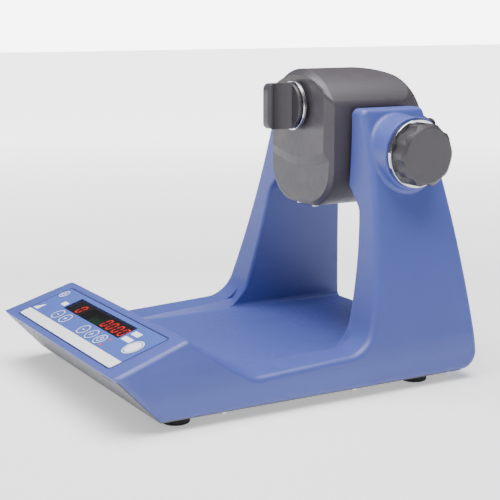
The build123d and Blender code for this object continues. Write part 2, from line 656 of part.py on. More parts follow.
with BuildPart() as head_housing:
    add(head_body(0))
    add(head_body(HEAD_WALL), mode=Mode.SUBTRACT)
    split(bisect_by=Plane.XZ.offset(-HEAD_SEAM), keep=Keep.BOTTOM)
    # pads and holes for the two pivots
    for start in (HEAD_HALF - HEAD_WALL - 0.5, -HEAD_HALF):
        disc(lateral(start), TILT_AXIS, 16.0, HEAD_WALL + 0.5)
    hole(lateral(-70), TILT_AXIS, PIVOT_R + 0.05, 140)
    for x in (-HEAD_HALF + 1, HEAD_HALF - 5):
        with BuildSketch(lateral(x)) as pivot_holes:
            with Locations(TILT_AXIS):
                with PolarLocations(12.0, 4, start_angle=45):
                    Circle(SCREW_R)
        extrude(pivot_holes.sketch, amount=4, dir=(1, 0, 0), mode=Mode.SUBTRACT)
    # pillars from the rear wall that carry the drive frame
    pillar_face_y = PLATE_REAR_Y + PLATE_REAR_T + FLAT
    for spot in FRAME_PILLARS:
        disc(axial(HEAD_BACK - 1.5), spot, 4.5, HEAD_BACK - 1.5 - pillar_face_y)
        hole(axial(pillar_face_y + 14), spot, SCREW_R, 15)
    add(head_body(0), mode=Mode.INTERSECT)
    # flat pad for the lead bush, and holes for it and the front cover's screws
    disc(axial(HEAD_BACK), (GLAND_X, GLAND_Z), 9.0, GLAND_PAD_T + 5)
    for x in (-HEAD_SCREW_X, HEAD_SCREW_X):
        hole(FLOOR_UP.offset(HEAD_BOTTOM - 1), (x, HEAD_SCREW_Y), SCREW_R + 0.1, 5)
    hole(axial(HEAD_BACK + 1), (GLAND_X, GLAND_Z), 5.1, GLAND_PAD_T + 2)
    hole(axial(HEAD_BACK - GLAND_PAD_T), (GLAND_X, GLAND_Z), 6.6, 16)
finish(head_housing, "head_housing")

with BuildPart() as head_front_cover:
    front_plane = axial(HEAD_FRONT)
    front_face = crowned_outline(
        front_plane, FACE_HALF, FACE_TOP, FACE_BOTTOM, FACE_CROWN_R, HEAD_CORNER_R, FACE_LOW_R
    )
    loft([head_outline(axial(HEAD_SEAM - FLAT), 0), front_face], ruled=True)
    # the face steps back below a wide arc under the chuck
    with BuildSketch(Plane.YZ) as step:
        with BuildLine():
            Polyline(
                (HEAD_FRONT - 2, SMILE_Z - SMILE_R + 2 * SMILE_BAND / SMILE_STEP),
                (HEAD_FRONT + SMILE_STEP, SMILE_Z - SMILE_R - SMILE_BAND),
                (HEAD_FRONT + SMILE_STEP, SMILE_Z - 2 * SMILE_R),
                (HEAD_FRONT - 2, SMILE_Z - 2 * SMILE_R),
                close=True,
            )
        make_face()
    revolve(step.sketch, axis=Axis((0, 0, SMILE_Z), (0, 1, 0)), mode=Mode.SUBTRACT)
    # rim that locates the cover in the housing, and hollow behind the chuck
    rim_end = axial(HEAD_SEAM + 6)
    extrude(head_outline(rim_end, HEAD_WALL + FIT), amount=7, dir=(0, -1, 0))
    extrude(head_outline(rim_end, HEAD_WALL + FIT + 2), amount=6, dir=(0, -1, 0), mode=Mode.SUBTRACT)
    hole(axial(HEAD_SEAM + 1), SHAFT_AXIS, 26.0, 4)
    hole(axial(HEAD_SEAM + 1), SHAFT_AXIS, 14.05, 12)
    # blocks for the screws from below
    for x in (-HEAD_SCREW_X, HEAD_SCREW_X):
        block(FLOOR_UP.offset(HEAD_BOTTOM + HEAD_WALL + FIT), (x, HEAD_SCREW_Y - 1), 9, 11, 10)
        hole(FLOOR_UP.offset(HEAD_BOTTOM), (x, HEAD_SCREW_Y), SCREW_R, 12)
finish(head_front_cover, "head_front_cover")

with BuildPart() as head_cover_screws:
    for x in (-HEAD_SCREW_X, HEAD_SCREW_X):
        pan_screw(FLOOR_UP.offset(HEAD_BOTTOM - FLAT), (x, HEAD_SCREW_Y), 11)
finish(head_cover_screws, "head_cover_screws")

# ---------------------------------------------------------------- pivots
FLANGE_X = HEAD_HALF - HEAD_WALL - 0.5 - FLAT    # inner pads of the housing

for pivot_name, side in (("pivot_stub_right", 1), ("pivot_stub_left", -1)):
    facing = Plane(origin=(0, 0, 0), x_dir=(0, side, 0), z_dir=(side, 0, 0))
    with BuildPart() as pivot:
        disc(facing.offset(FLANGE_X - 4), (side * TILT_Y, TILT_Z), 15.5, 4)
        if side > 0:
            disc(facing.offset(FLANGE_X), TILT_AXIS, PIVOT_R, STUD_FROM_X - FLANGE_X)
            disc(facing.offset(STUD_FROM_X), TILT_AXIS, STUD_R, 18)
            chamfer(pivot.edges().sort_by(Axis.X)[-1], 0.8)
        else:
            disc(facing.offset(FLANGE_X), (-TILT_Y, TILT_Z), PIVOT_R, HUB_END_X + 2 - FLANGE_X)
        hole(facing.offset(FLANGE_X - 5), (side * TILT_Y, TILT_Z), 3.5, 30)
        with BuildSketch(facing.offset(FLANGE_X - 5)) as pivot_holes:
            with Locations((side * TILT_Y, TILT_Z)):
                with PolarLocations(12.0, 4, start_angle=45):
                    Circle(SCREW_R + 0.1)
        extrude(pivot_holes.sketch, amount=6, dir=facing.z_dir, mode=Mode.SUBTRACT)
    finish(pivot, pivot_name)

with BuildPart() as pivot_screws:
    for side in (1, -1):
        facing = Plane(origin=(0, 0, 0), x_dir=(0, side, 0), z_dir=(side, 0, 0))
        seat = facing.offset(FLANGE_X - 4 - FLAT)
        for turn in (45, 135, 225, 315):
            reach = (side * (TILT_Y + 12 * cos(radians(turn))), TILT_Z + 12 * sin(radians(turn)))
            pan_screw(seat, reach, 6)
finish(pivot_screws, "pivot_screws")

# ---------------------------------------------------------------- drive frame, bearings, motor
with BuildPart() as drive_frame:
    block(axial(PLATE_FRONT_Y + PLATE_FRONT_T), (0, 237), 66, 76, PLATE_FRONT_T, 10.0)
    block(axial(PLATE_REAR_Y + PLATE_REAR_T), (0, 224), 94, 88, PLATE_REAR_T, 12.0)
    for x in (-31.0, 31.0):
        block(axial(PLATE_REAR_Y + 1), (x, 237), 4, 56, PLATE_REAR_Y - PLATE_FRONT_Y - PLATE_FRONT_T + 2)
    rear_boss_y = REAR_BEARING_Y + BEARING_T + 1
    disc(axial(rear_boss_y), SHAFT_AXIS, 17.0, rear_boss_y - PLATE_REAR_Y)
    for front_y, length in ((PLATE_FRONT_Y, BEARING_T + 0.5), (REAR_BEARING_Y, 12)):
        hole(axial(front_y + length), SHAFT_AXIS, BEARING_OUT_R, length)
    hole(axial(130), SHAFT_AXIS, 11.0, 65)
    hole(axial(130), (0, MOTOR_Z), 7.0, 35)
    for spot in FRAME_PILLARS:
        hole(axial(130), spot, SCREW_R + 0.1, 35)
    for x in (-12.0, 12.0):
        hole(axial(130), (x, MOTOR_Z - 8), SCREW_R + 0.1, 35)
finish(drive_frame, "drive_frame")

facing_back = Plane(origin=(0, PLATE_REAR_Y - FLAT, 0), x_dir=(-1, 0, 0), z_dir=(0, 1, 0))
with BuildPart() as frame_screws:
    for x, z in FRAME_PILLARS:
        pan_screw(facing_back, (-x, z), 16)
finish(frame_screws, "frame_screws")

with BuildPart() as motor_screws:
    for x in (-12.0, 12.0):
        pan_screw(facing_back, (-x, MOTOR_Z - 8), 9)
finish(motor_screws, "motor_screws")

MOTOR_AXIS = (0, MOTOR_Z)
with BuildPart() as gearbox:
    disc(axial(GEARBOX_Y + GEARBOX_LENGTH), MOTOR_AXIS, GEARBOX_R, GEARBOX_LENGTH)
    hole(axial(GEARBOX_Y + 12), MOTOR_AXIS, 5.0, 13)
    for x in (-12.0, 12.0):
        hole(axial(GEARBOX_Y + 6), (x, MOTOR_Z - 8), SCREW_R, 7)
    chamfer(gearbox.edges().filter_by(GeomType.CIRCLE).sort_by(Axis.Y)[-1], 0.8)
finish(gearbox, "gearbox")

with BuildPart() as gear_motor:
    motor_y = GEARBOX_Y + GEARBOX_LENGTH + FLAT
    disc(axial(motor_y + MOTOR_LENGTH), MOTOR_AXIS, MOTOR_R, MOTOR_LENGTH)
    fillet(gear_motor.edges().filter_by(GeomType.CIRCLE), 1.5)
    disc(axial(motor_y + MOTOR_LENGTH + 3), MOTOR_AXIS, 6.0, 3.5)
    for x in (-10.0, 10.0):
        block(axial(motor_y + MOTOR_LENGTH + 6), (x, MOTOR_Z), 3, 0.8, 6.5)
finish(gear_motor, "gear_motor")

with BuildPart() as bearing_outer_races:
    for front_y in (FRONT_BEARING_Y, REAR_BEARING_Y):
        bearing_ring(BEARING_OUT_R - 2.4, BEARING_OUT_R - 0.03, front_y)
finish(bearing_outer_races, "bearing_outer_races")

with BuildPart() as bearing_balls:
    for front_y in (FRONT_BEARING_Y, REAR_BEARING_Y):
        for k in range(BALL_COUNT):
            turn = 2 * pi * k / BALL_COUNT
            across, up = BEARING_PITCH_R * cos(turn), BEARING_PITCH_R * sin(turn)
            with Locations((across, front_y + BEARING_T / 2, SHAFT_Z + up)):
                Sphere(BALL_R)
finish(bearing_balls, "bearing_balls")

with BuildPart() as bearing_inner_races:
    for front_y in (FRONT_BEARING_Y, REAR_BEARING_Y):
        bearing_ring(SHAFT_R + 0.03, BEARING_PITCH_R - 1.6, front_y)
finish(bearing_inner_races, "bearing_inner_races")

with BuildPart() as shaft_seal:
    disc(axial(HEAD_FRONT + 6.5), SHAFT_AXIS, 14.0, 9)
    hole(axial(HEAD_FRONT + 7), SHAFT_AXIS, SHAFT_R + 0.08, 12)
    hole(axial(HEAD_FRONT - 0.5), SHAFT_AXIS, 11.5, 3)
finish(shaft_seal, "shaft_seal")

with BuildPart() as lead_bush:
    gland = (GLAND_X, GLAND_Z)
    disc(axial(GLAND_TIP_Y), gland, 6.8, GLAND_TIP_Y - HEAD_BACK - FLAT)
    fillet(lead_bush.edges().sort_by(Axis.Y)[-1], 4.5)
    disc(axial(HEAD_BACK + 1), gland, 4.8, GLAND_PAD_T + 4)
    disc(axial(HEAD_BACK - GLAND_PAD_T - FLAT), gland, 6.3, 3)
    hole(axial(GLAND_TIP_Y), gland, 2.0, 10)
finish(lead_bush, "lead_bush")

# ---------------------------------------------------------------- drive shaft and gears
def gear_face(plane, centre, teeth, first_tooth):
    """Involute spur gear as a sketch; first_tooth is the angle of one tooth's middle, in degrees."""
    pitch_r = MODULE * teeth / 2
    base_r = pitch_r * cos(radians(PRESSURE_ANGLE))
    tip_r, root_r = pitch_r + MODULE, pitch_r - 1.25 * MODULE
    half_at_pitch = (pi * MODULE / 2 - TOOTH_THINNING) / (2 * pitch_r)

    def flank(radius, middle, side):
        rolled = acos(min(1.0, base_r / radius))
        pitch_roll = radians(PRESSURE_ANGLE)
        half = half_at_pitch + tan(pitch_roll) - pitch_roll - tan(rolled) + rolled
        angle = middle + side * half
        return radius * cos(angle), radius * sin(angle)

    points = []
    for k in range(teeth):
        middle = radians(first_tooth) + 2 * pi * k / teeth
        radii = [root_r + (tip_r - root_r) * step / 4 for step in range(5)]
        points += [flank(radius, middle, -1) for radius in radii]
        points += [flank(radius, middle, 1) for radius in reversed(radii)]
    with BuildSketch(plane) as gear:
        with Locations(centre):
            Polygon(*points, align=None)
    return gear.sketch


with BuildPart() as drive_shaft:
    disc(axial(SHAFT_END_Y), SHAFT_AXIS, SHAFT_R, SHAFT_END_Y - SHOULDER_Y)
    disc(axial(SHOULDER_Y), SHAFT_AXIS, CHUCK_STUD_R, SHOULDER_Y - STUD_TIP_Y)
    chamfer(drive_shaft.edges().group_by(Axis.Y)[0], 0.8)
    pocket(axial(GEAR_Y1), (0, SHAFT_Z + SHAFT_R), 4.04, 4.6, GEAR_Y1 - GEAR_Y0)
    with BuildSketch(Plane.YZ) as groove:
        with Locations((CIRCLIP_Y + 0.55, SHAFT_Z + SHAFT_R)):
            Rectangle(1.2, 1.1)
    revolve(groove.sketch, axis=Axis((0, 0, SHAFT_Z), (0, 1, 0)), mode=Mode.SUBTRACT)
finish(drive_shaft, "drive_shaft")

with BuildPart() as drive_gear:
    gear_spot = gear_face(axial(GEAR_Y1), SHAFT_AXIS, GEAR_TEETH, -90)
    extrude(gear_spot, amount=GEAR_Y1 - GEAR_Y0, dir=(0, -1, 0))
    hole(axial(GEAR_Y1), SHAFT_AXIS, SHAFT_R + 0.03, GEAR_Y1 - GEAR_Y0)
    pocket(axial(GEAR_Y1), (0, SHAFT_Z + SHAFT_R), 4.04, 4.6, GEAR_Y1 - GEAR_Y0)
    with BuildSketch(axial(GEAR_Y1)) as lightening:
        with Locations(SHAFT_AXIS):
            with PolarLocations(16.5, 6, start_angle=30):
                Circle(5.0)
    extrude(lightening.sketch, amount=GEAR_Y1 - GEAR_Y0, dir=(0, -1, 0), mode=Mode.SUBTRACT)
finish(drive_gear, "drive_gear")

with BuildPart() as gear_key:
    block(axial(GEAR_Y1 - 0.2), (0, SHAFT_Z + SHAFT_R), 4.0, 4.4, GEAR_Y1 - GEAR_Y0 - 0.4)
finish(gear_key, "gear_key")

with BuildPart() as shaft_circlip:
    disc(axial(CIRCLIP_Y + 1.1), SHAFT_AXIS, 8.2, 1.1)
    hole(axial(CIRCLIP_Y + 2), SHAFT_AXIS, 5.5, 4)
    pocket(axial(CIRCLIP_Y + 2), (0, SHAFT_Z + 7), 5.0, 6, 4)
finish(shaft_circlip, "shaft_circlip")

with BuildPart() as clamp_flange:
    disc(axial(SHOULDER_Y), SHAFT_AXIS, 24.0, SHOULDER_Y - FLANGE_Y)
    chamfer(clamp_flange.edges().group_by(Axis.Y)[0], 0.6)
    disc(axial(SHOULDER_Y + 3), SHAFT_AXIS, 10.0, 3)
    hole(axial(SHOULDER_Y + 3), SHAFT_AXIS, SHAFT_R + 0.03, 3)
    hole(axial(SHOULDER_Y), SHAFT_AXIS, CHUCK_STUD_R + 0.04, 8)
finish(clamp_flange, "clamp_flange")

with BuildPart() as motor_shaft:
    disc(axial(GEARBOX_Y + 11), MOTOR_AXIS, 3.0, GEARBOX_Y + 11 - GEAR_Y0 + 1)
    pocket(axial(GEAR_Y1 + 1), (0, MOTOR_Z + 3.0), 6, 1.0, 11)
finish(motor_shaft, "motor_shaft")

with BuildPart() as pinion:
    pinion_spot = gear_face(axial(GEAR_Y1), MOTOR_AXIS, PINION_TEETH, 90 + 180 / PINION_TEETH)
    extrude(pinion_spot, amount=GEAR_Y1 - GEAR_Y0, dir=(0, -1, 0))
    hole(axial(GEAR_Y1), MOTOR_AXIS, 3.03, GEAR_Y1 - GEAR_Y0)
finish(pinion, "pinion")

# ---------------------------------------------------------------- chuck
with BuildPart() as pressure_washer:
    disc(axial(FLANGE_Y - FLAT), SHAFT_AXIS, 21.0, FLANGE_Y - WASHER_Y - FLAT)
    hole(axial(FLANGE_Y), SHAFT_AXIS, CHUCK_STUD_R + 0.3, 4)
finish(pressure_washer, "pressure_washer")

with BuildPart() as wing_knob:
    disc(axial(WASHER_Y - FLAT), SHAFT_AXIS, WING_DISC_R, WASHER_Y - FLAT - WING_DISC_Y)
    fillet(wing_knob.edges().group_by(Axis.Y)[0], 1.2)
    # the wing: narrow waist, bead along its front edge, flare into the disc
    with BuildSketch(Plane.XY.offset(SHAFT_Z - WING_HALF)) as wing:
        with BuildLine():
            Line((0, WING_FRONT_Y), (4.2, WING_FRONT_Y))
            ThreePointArc((4.2, WING_FRONT_Y), (5.6, WING_FRONT_Y + 3.2), (4.4, WING_FRONT_Y + 7.5))
            ThreePointArc((4.4, WING_FRONT_Y + 7.5), (4.2, WING_FRONT_Y + 14), (5.2, WING_FRONT_Y + 19.5))
            ThreePointArc((5.2, WING_FRONT_Y + 19.5), (6.6, WING_FRONT_Y + 22.6), (9.5, WING_DISC_Y + 0.5))
            Line((9.5, WING_DISC_Y + 0.5), (0, WING_DISC_Y + 0.5))
            Line((0, WING_DISC_Y + 0.5), (0, WING_FRONT_Y))
        make_face()
        mirror(about=Plane.YZ)
    extrude(wing.sketch, amount=2 * WING_HALF, dir=(0, 0, 1))
    with BuildSketch(Plane.YZ.offset(-40)) as wing_side:
        with Locations(((WING_FRONT_Y + 60) / 2, SHAFT_Z)):
            RectangleRounded(60 - WING_FRONT_Y, 2 * WING_HALF, 7.0)
        with Locations((WING_DISC_Y + 10, SHAFT_Z)):
            Rectangle(20, 60)
    extrude(wing_side.sketch, amount=80, dir=(1, 0, 0), mode=Mode.INTERSECT)
    # blind bore for the threaded insert
    hole(axial(WASHER_Y), SHAFT_AXIS, CHUCK_INSERT_R, WASHER_Y - CHUCK_INSERT_Y + FLAT)
    hole(axial(WASHER_Y), SHAFT_AXIS, CHUCK_STUD_R + 0.3, WASHER_Y - STUD_TIP_Y + 1.2)
finish(wing_knob, "wing_knob")

with BuildPart() as wing_knob_insert:
    disc(axial(WASHER_Y - 0.5), SHAFT_AXIS, CHUCK_INSERT_R - 0.03, WASHER_Y - 0.5 - CHUCK_INSERT_Y)
    hole(axial(WASHER_Y), SHAFT_AXIS, CHUCK_STUD_R + 0.08, 30)
finish(wing_knob_insert, "wing_knob_insert")

# ---------------------------------------------------------------- tilt lock
TILT_RING_R, TILT_KNOB_R, TILT_FACE_R = 32.0, 29.3, 25.3
RING_X, KNOB_X, KNOB_END_X = BOSS_X + FLAT, 118.3, 134.5
KNOB_LOBES, SCALLOP_DEPTH, SCALLOP_R = 10, 2.5, 13.0

with BuildPart() as tilt_scale_ring:
    disc(lateral(RING_X), TILT_AXIS, TILT_RING_R, KNOB_X - FLAT - RING_X)
    chamfer(tilt_scale_ring.edges().filter_by(GeomType.CIRCLE), 0.5)
    hole(lateral(RING_X - 1), TILT_AXIS, STUD_R + 0.3, 10)
finish(tilt_scale_ring, "tilt_scale_ring")

with BuildPart() as tilt_knob:
    disc(lateral(KNOB_X), TILT_AXIS, TILT_KNOB_R, KNOB_END_X - KNOB_X)
    chamfer(tilt_knob.edges().group_by(Axis.X)[-1], length=KNOB_CHAMFER, length2=TILT_KNOB_R - TILT_FACE_R)
    with BuildSketch(lateral(KNOB_X)) as scallops:
        with Locations(TILT_AXIS):
            with PolarLocations(TILT_KNOB_R + SCALLOP_R - SCALLOP_DEPTH, KNOB_LOBES, start_angle=18):
                Circle(SCALLOP_R)
    extrude(scallops.sketch, amount=KNOB_END_X - KNOB_X + 1, dir=(1, 0, 0), mode=Mode.SUBTRACT)
    # hollow back with a hub for the insert
    with BuildSketch(lateral(KNOB_X)) as hollow:
        with Locations(TILT_AXIS):
            Circle(23.0)
            Circle(10.5, mode=Mode.SUBTRACT)
    extrude(hollow.sketch, amount=10, dir=(1, 0, 0), mode=Mode.SUBTRACT)
    hole(lateral(KNOB_X), TILT_AXIS, INSERT_R, 11)
    hole(lateral(KNOB_X), TILT_AXIS, STUD_R + 0.3, 12.6)
finish(tilt_knob, "tilt_knob")

with BuildPart() as tilt_knob_insert:
    disc(lateral(KNOB_X + 0.5), TILT_AXIS, INSERT_R - 0.03, 10)
    hole(lateral(KNOB_X), TILT_AXIS, STUD_R + 0.08, 20)
finish(tilt_knob_insert, "tilt_knob_insert")
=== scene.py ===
import json
import math

import bmesh
import bpy
from mathutils import Matrix, Vector


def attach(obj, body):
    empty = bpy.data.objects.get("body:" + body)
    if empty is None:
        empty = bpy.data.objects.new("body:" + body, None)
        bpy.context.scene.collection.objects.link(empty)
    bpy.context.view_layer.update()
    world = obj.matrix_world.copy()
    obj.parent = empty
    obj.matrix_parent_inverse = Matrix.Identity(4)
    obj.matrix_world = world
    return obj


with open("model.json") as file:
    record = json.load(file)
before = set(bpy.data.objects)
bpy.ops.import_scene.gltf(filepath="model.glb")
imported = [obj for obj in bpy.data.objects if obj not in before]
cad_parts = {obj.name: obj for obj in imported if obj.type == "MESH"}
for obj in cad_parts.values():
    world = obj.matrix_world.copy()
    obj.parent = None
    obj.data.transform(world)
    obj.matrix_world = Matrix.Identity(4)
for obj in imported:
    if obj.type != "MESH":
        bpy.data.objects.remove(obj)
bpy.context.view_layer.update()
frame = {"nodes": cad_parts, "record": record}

MM = 0.001


# ------------------------------------------------------------------ shader helpers
def new_material(name):
    material = bpy.data.materials.new(name)
    material.use_nodes = True
    tree = material.node_tree
    shader = tree.nodes["Principled BSDF"]
    return material, tree, shader


def link(tree, source, target):
    tree.links.new(source, target)


def noise(tree, scale, detail=2.0, roughness=0.5, stretch=None):
    """3-D noise in the object's own metres; scale is in cells per metre."""
    coords = tree.nodes.new("ShaderNodeTexCoord")
    texture = tree.nodes.new("ShaderNodeTexNoise")
    texture.inputs["Scale"].default_value = scale
    texture.inputs["Detail"].default_value = detail
    texture.inputs["Roughness"].default_value = roughness
    if stretch:
        mapping = tree.nodes.new("ShaderNodeMapping")
        mapping.inputs["Scale"].default_value = stretch
        link(tree, coords.outputs["Object"], mapping.inputs["Vector"])
        link(tree, mapping.outputs["Vector"], texture.inputs["Vector"])
    else:
        link(tree, coords.outputs["Object"], texture.inputs["Vector"])
    return texture.outputs["Fac"]


def remap(tree, value, low, high, from_low=0.3, from_high=0.7):
    node = tree.nodes.new("ShaderNodeMapRange")
    node.inputs["From Min"].default_value = from_low
    node.inputs["From Max"].default_value = from_high
    node.inputs["To Min"].default_value = low
    node.inputs["To Max"].default_value = high
    link(tree, value, node.inputs["Value"])
    return node.outputs["Result"]


def tint(tree, factor, first, second):
    node = tree.nodes.new("ShaderNodeMix")
    node.data_type = "RGBA"
    node.inputs["A"].default_value = (*first, 1)
    node.inputs["B"].default_value = (*second, 1)
    link(tree, factor, node.inputs["Factor"])
    return node.outputs["Result"]


def bump(tree, shader, height, strength, distance, edge=0.0):
    node = tree.nodes.new("ShaderNodeBump")
    node.inputs["Strength"].default_value = strength
    node.inputs["Distance"].default_value = distance
    link(tree, height, node.inputs["Height"])
    if edge:
        bevel = tree.nodes.new("ShaderNodeBevel")
        bevel.samples = 6
        bevel.inputs["Radius"].default_value = edge
        link(tree, bevel.outputs["Normal"], node.inputs["Normal"])
    link(tree, node.outputs["Normal"], shader.inputs["Normal"])


def scaled(colour, k):
    return tuple(min(1.0, c * k) for c in colour)


def srgb(r, g, b):
    """8-bit display colour to linear."""
    return tuple(c / 255 / 12.92 if c / 255 <= 0.04045 else ((c / 255 + 0.055) / 1.055) ** 2.4
                 for c in (r, g, b))


def moulded(name, colour, rough, grain=2600.0, depth=0.00004, edge=0.0006, edge_highlight=0.05, spec=0.5):
    """Moulded plastic: eroded grain, faint cloudiness, and a painted highlight that lightens convex edges."""
    material, tree, shader = new_material(name)
    cloud = noise(tree, 22.0, 3.0)
    fine = noise(tree, grain, 3.0, 0.6)
    base = tint(tree, remap(tree, cloud, 0.0, 1.0), scaled(colour, 0.97), scaled(colour, 1.03))
    # painted highlight: convex edges, found by pointiness, get a lighter base colour in place of light caught
    # by rounded edges
    edges = tree.nodes.new("ShaderNodeNewGeometry")
    edge_highlight_mask = remap(tree, edges.outputs["Pointiness"], 0.0, 1.0, 0.51, 0.60)
    edge_highlight_mix = tree.nodes.new("ShaderNodeMix")
    edge_highlight_mix.data_type = "RGBA"
    edge_highlight_mix.inputs["B"].default_value = (*scaled(colour, 1.0 + 4 * edge_highlight), 1)
    gain = tree.nodes.new("ShaderNodeMath")
    gain.operation = "MULTIPLY"
    gain.inputs[1].default_value = 0.6
    link(tree, edge_highlight_mask, gain.inputs[0])
    link(tree, gain.outputs["Value"], edge_highlight_mix.inputs["Factor"])
    link(tree, base, edge_highlight_mix.inputs["A"])
    link(tree, edge_highlight_mix.outputs["Result"], shader.inputs["Base Color"])
    link(tree, remap(tree, noise(tree, 150.0, 4.0), rough - 0.05, rough + 0.06), shader.inputs["Roughness"])
    bump(tree, shader, fine, 0.35, depth, edge)
    shader.inputs["Specular IOR Level"].default_value = spec
    return material


def metal(name, colour, rough, stretch=(1, 1, 1), scale=900.0, depth=0.00002, edge=0.0003):
    """Machined or plated metal with fine tool lines and patchy roughness."""
    material, tree, shader = new_material(name)
    lines = noise(tree, scale, 2.0, 0.5, stretch)
    patches = remap(tree, noise(tree, 60.0, 3.0), 0.0, 1.0)
    link(tree, tint(tree, patches, scaled(colour, 0.94), scaled(colour, 1.04)), shader.inputs["Base Color"])
    polish = remap(tree, noise(tree, 260.0, 4.0), max(rough - 0.05, 0.02), rough + 0.06)
    link(tree, polish, shader.inputs["Roughness"])
    shader.inputs["Metallic"].default_value = 1.0
    bump(tree, shader, lines, 0.3, depth, edge)
    return material


def rubber(name, colour, rough=0.75):
    material, tree, shader = new_material(name)
    fine = noise(tree, 3500.0, 4.0, 0.7)
    base = tint(tree, remap(tree, noise(tree, 90.0, 3.0), 0.0, 1.0), scaled(colour, 0.8), scaled(colour, 1.3))
    link(tree, base, shader.inputs["Base Color"])
    link(tree, remap(tree, noise(tree, 300.0, 3.0), rough - 0.1, rough + 0.1), shader.inputs["Roughness"])
    bump(tree, shader, fine, 0.4, 0.00006, 0.0005)
    return material


def printed(name, colour, rough=0.45):
    """Screen-printed ink: nearly flat, with the faint mesh of the screen."""
    material, tree, shader = new_material(name)
    mesh_mark = noise(tree, 5200.0, 1.0)
    patches = remap(tree, noise(tree, 300.0, 3.0), 0.0, 1.0)
    link(tree, tint(tree, patches, scaled(colour, 0.96), scaled(colour, 1.02)), shader.inputs["Base Color"])
    link(tree, remap(tree, noise(tree, 500.0, 2.0), rough - 0.04, rough + 0.06), shader.inputs["Roughness"])
    bump(tree, shader, mesh_mark, 0.25, 0.00001)
    return material


# ------------------------------------------------------------------ materials
casing_blue = moulded("casing_blue", srgb(68, 80, 150), 0.42, spec=0.45)
foil_blue = moulded("foil_blue", srgb(70, 92, 168), 0.36, grain=4200.0, depth=0.00001, edge=0.0, edge_highlight=0.0)
head_grey = moulded("head_grey", srgb(60, 56, 62), 0.40, spec=0.45)
knob_grey = moulded("knob_grey", srgb(52, 49, 54), 0.42, grain=3000.0, edge=0.0008)
cover_grey = moulded("cover_grey", srgb(92, 93, 99), 0.5)
switch_black = moulded("switch_black", srgb(30, 30, 32), 0.4)
acetal_white = moulded("acetal_white", srgb(226, 224, 216), 0.35)
board_green = moulded("board_green", srgb(26, 92, 48), 0.3, grain=900.0)
foot_black = rubber("foot_black", srgb(24, 24, 25))
seal_black = rubber("seal_black", srgb(26, 26, 28), 0.55)
steel = metal("zinc_steel", srgb(190, 190, 194), 0.3)
chrome = metal("polished_chrome", srgb(176, 177, 182), 0.08, scale=400.0, depth=0.000004)
aluminium = metal("turned_aluminium", srgb(214, 214, 217), 0.24, stretch=(1, 14, 1))
brass = metal("turned_brass", srgb(196, 164, 96), 0.28)

window_black, tree, shader = new_material("window_tint")
smears = noise(tree, 120.0, 4.0)
smoke = tint(tree, remap(tree, smears, 0.0, 1.0), (0.006, 0.006, 0.008), (0.012, 0.011, 0.013))
link(tree, smoke, shader.inputs["Base Color"])
link(tree, remap(tree, smears, 0.10, 0.2), shader.inputs["Roughness"])
shader.inputs["Alpha"].default_value = 0.4
shader.inputs["Specular IOR Level"].default_value = 0.3

display_black = moulded("display_black", srgb(26, 20, 20), 0.35, grain=1800.0)
led_red, tree, shader = new_material("led_red")
lens = tint(tree, remap(tree, noise(tree, 900.0), 0.0, 1.0), (0.55, 0.01, 0.01), (0.75, 0.03, 0.02))
link(tree, lens, shader.inputs["Base Color"])
shader.inputs["Roughness"].default_value = 0.2
shader.inputs["Emission Color"].default_value = (1.0, 0.03, 0.02, 1)
shader.inputs["Emission Strength"].default_value = 0.5

SLOT_LOOKS = {
    "casing_blue": casing_blue, "cover_grey": cover_grey, "steel": steel, "foot_rubber": foot_black,
    "foil_blue": foil_blue, "window_black": window_black, "display_black": display_black, "led_red": led_red,
    "board_green": board_green, "switch_black": switch_black, "bush_white": acetal_white,
    "key_blue": foil_blue, "head_grey": head_grey, "frame_aluminium": aluminium, "motor_steel": steel,
    "seal_rubber": seal_black, "gear_white": acetal_white, "flange_aluminium": aluminium, "gear_brass": brass,
    "knob_grey": knob_grey, "ring_chrome": chrome,
}
slot_of = {entry["node"]: entry["material_slot"] for entry in frame["record"]["subparts"]}
for node_name, node in frame["nodes"].items():
    node.data.materials.clear()
    node.data.materials.append(SLOT_LOOKS[slot_of[node_name]])

# ------------------------------------------------------------------ console graphics
PANEL_RISE, PANEL_DEPTH = 22.9, 70.4      # the console's slope, and its lower edge, in millimetres
LIP_Y, LIP_Z = -197.3, 52.0
PANEL_SLOPE = math.atan2(PANEL_RISE, PANEL_DEPTH)
PANEL = Matrix((
    (1, 0, 0, 0),
    (0, math.cos(PANEL_SLOPE), -math.sin(PANEL_SLOPE), LIP_Y * MM),
    (0, math.sin(PANEL_SLOPE), math.cos(PANEL_SLOPE), LIP_Z * MM),
    (0, 0, 0, 1),
))
white_ink = printed("white_ink", srgb(236, 238, 242))
navy_ink = printed("navy_ink", srgb(28, 36, 78))
label_paper = printed("label_paper", srgb(232, 232, 234), 0.5)


def on_panel(u, v, height):
    """Point on the console: u along its lip, v up its slope, height off its face, in millimetres."""
    return PANEL @ Vector((u * MM, v * MM, height * MM))


def rounded(u0, v0, u1, v1, radius, steps=8):
    """Corner-rounded rectangle as points, anticlockwise; radius is one number or four (from lower left)."""
    radii = radius if isinstance(radius, tuple) else (radius,) * 4
    corners = [(u0, v0, 1, 1, 180), (u1, v0, -1, 1, 270), (u1, v1, -1, -1, 0), (u0, v1, 1, -1, 90)]
    points = []
    for (u, v, du, dv, start), r in zip(corners, radii):
        for k in range(steps + 1):
            turn = math.radians(start + 90 * k / steps)
            points.append((u + du * r + r * math.cos(turn), v + dv * r + r * math.sin(turn)))
    return points


def circle(u, v, radius, steps=64):
    turns = [2 * math.pi * k / steps for k in range(steps)]
    return [(u + radius * math.cos(turn), v + radius * math.sin(turn)) for turn in turns]


def bar(u, v, length, width, turn=0.0):
    """Round-ended bar."""
    points = []
    for side, start in ((1, -90), (-1, 90)):
        for k in range(9):
            angle = math.radians(start + 180 * k / 8)
            x = side * (length - width) / 2 + width / 2 * math.cos(angle)
            points.append((x, width / 2 * math.sin(angle)))
    c, s = math.cos(turn), math.sin(turn)
    return [(u + c * x - s * y, v + s * x + c * y) for x, y in points]


